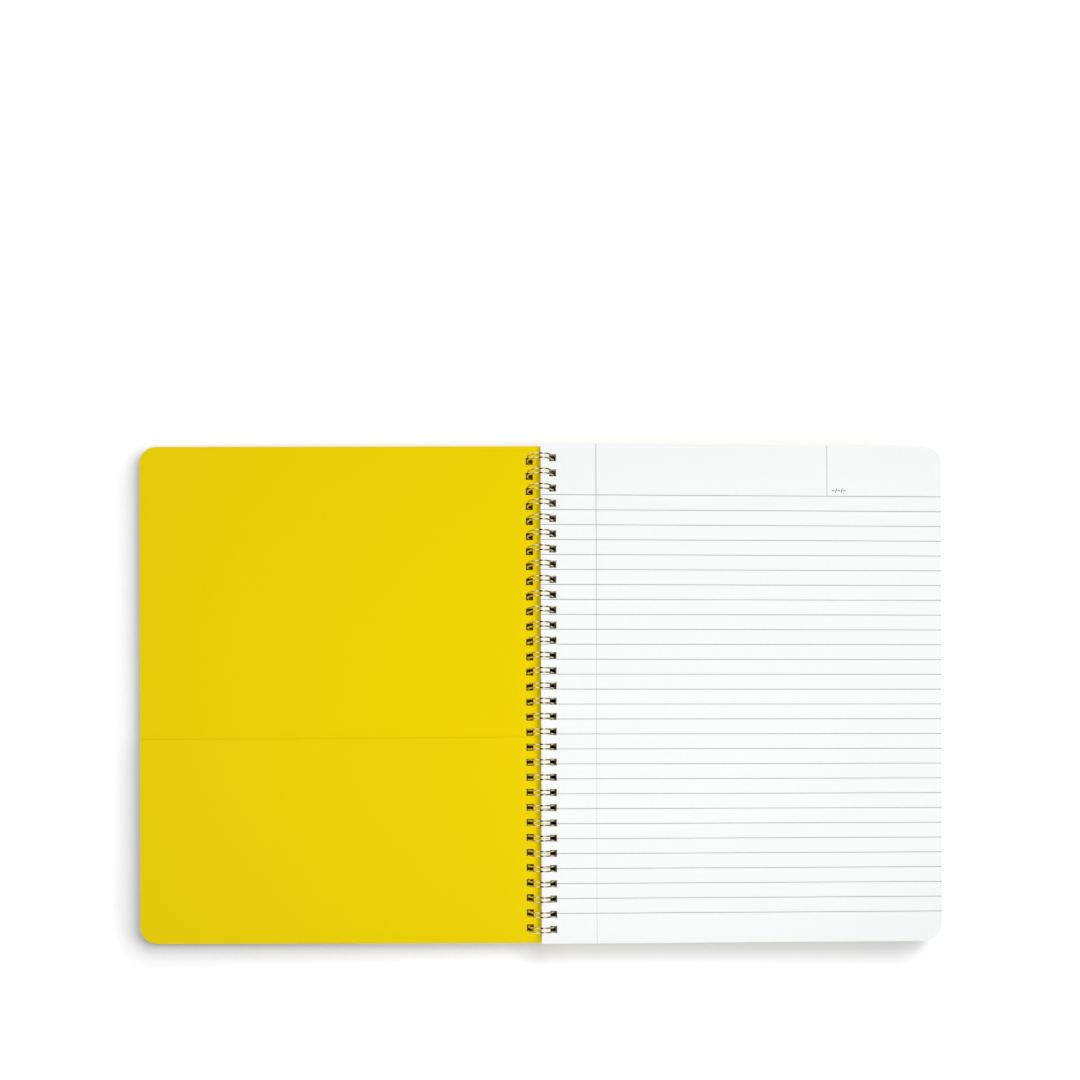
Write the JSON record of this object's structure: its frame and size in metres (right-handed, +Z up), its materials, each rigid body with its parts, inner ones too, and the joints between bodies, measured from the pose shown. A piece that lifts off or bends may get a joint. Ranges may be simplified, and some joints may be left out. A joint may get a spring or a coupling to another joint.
{
  "type": "wire-bound notebook",
  "caption": "Wire-bound ruled notebook lying open at its first page, with card covers, a pocket panel inside the front cover and a twin-loop wire binding.",
  "frame": {"origin": "on the table, straight below the middle of the binding's axis", "axes": "+X across the spine towards the pages' fore edge, +Y along the spine towards the head of the page, +Z up"},
  "size_m": [0.4506, 0.2794, 0.016],
  "materials": {
    "cover_card": "smooth coated yellow card",
    "pocket_card": "smooth coated yellow card, thinner than the covers",
    "paper": "white writing paper with fine grey rules",
    "gold_wire": "bright gold coated wire"
  },
  "bodies": {
    "binding": {"binding_wire": "gold_wire", "back_cover": "cover_card"},
    "front": {"front_cover": "cover_card", "pocket_panel": "pocket_card"},
    "pages": {"page_block": "paper"}
  },
  "joints": [
    {"name": "front_cover_hinge", "type": "hinge", "parent": "binding", "child": "front", "pos_m": [0, 0, 0.00815], "axis": [0, 1, 0], "range_deg": [0, 181.64]},
    {"name": "page_hinge", "type": "hinge", "parent": "binding", "child": "pages", "pos_m": [0, 0, 0.00815], "axis": [0, -1, 0], "range_deg": [0, 181.64]}
  ]
}
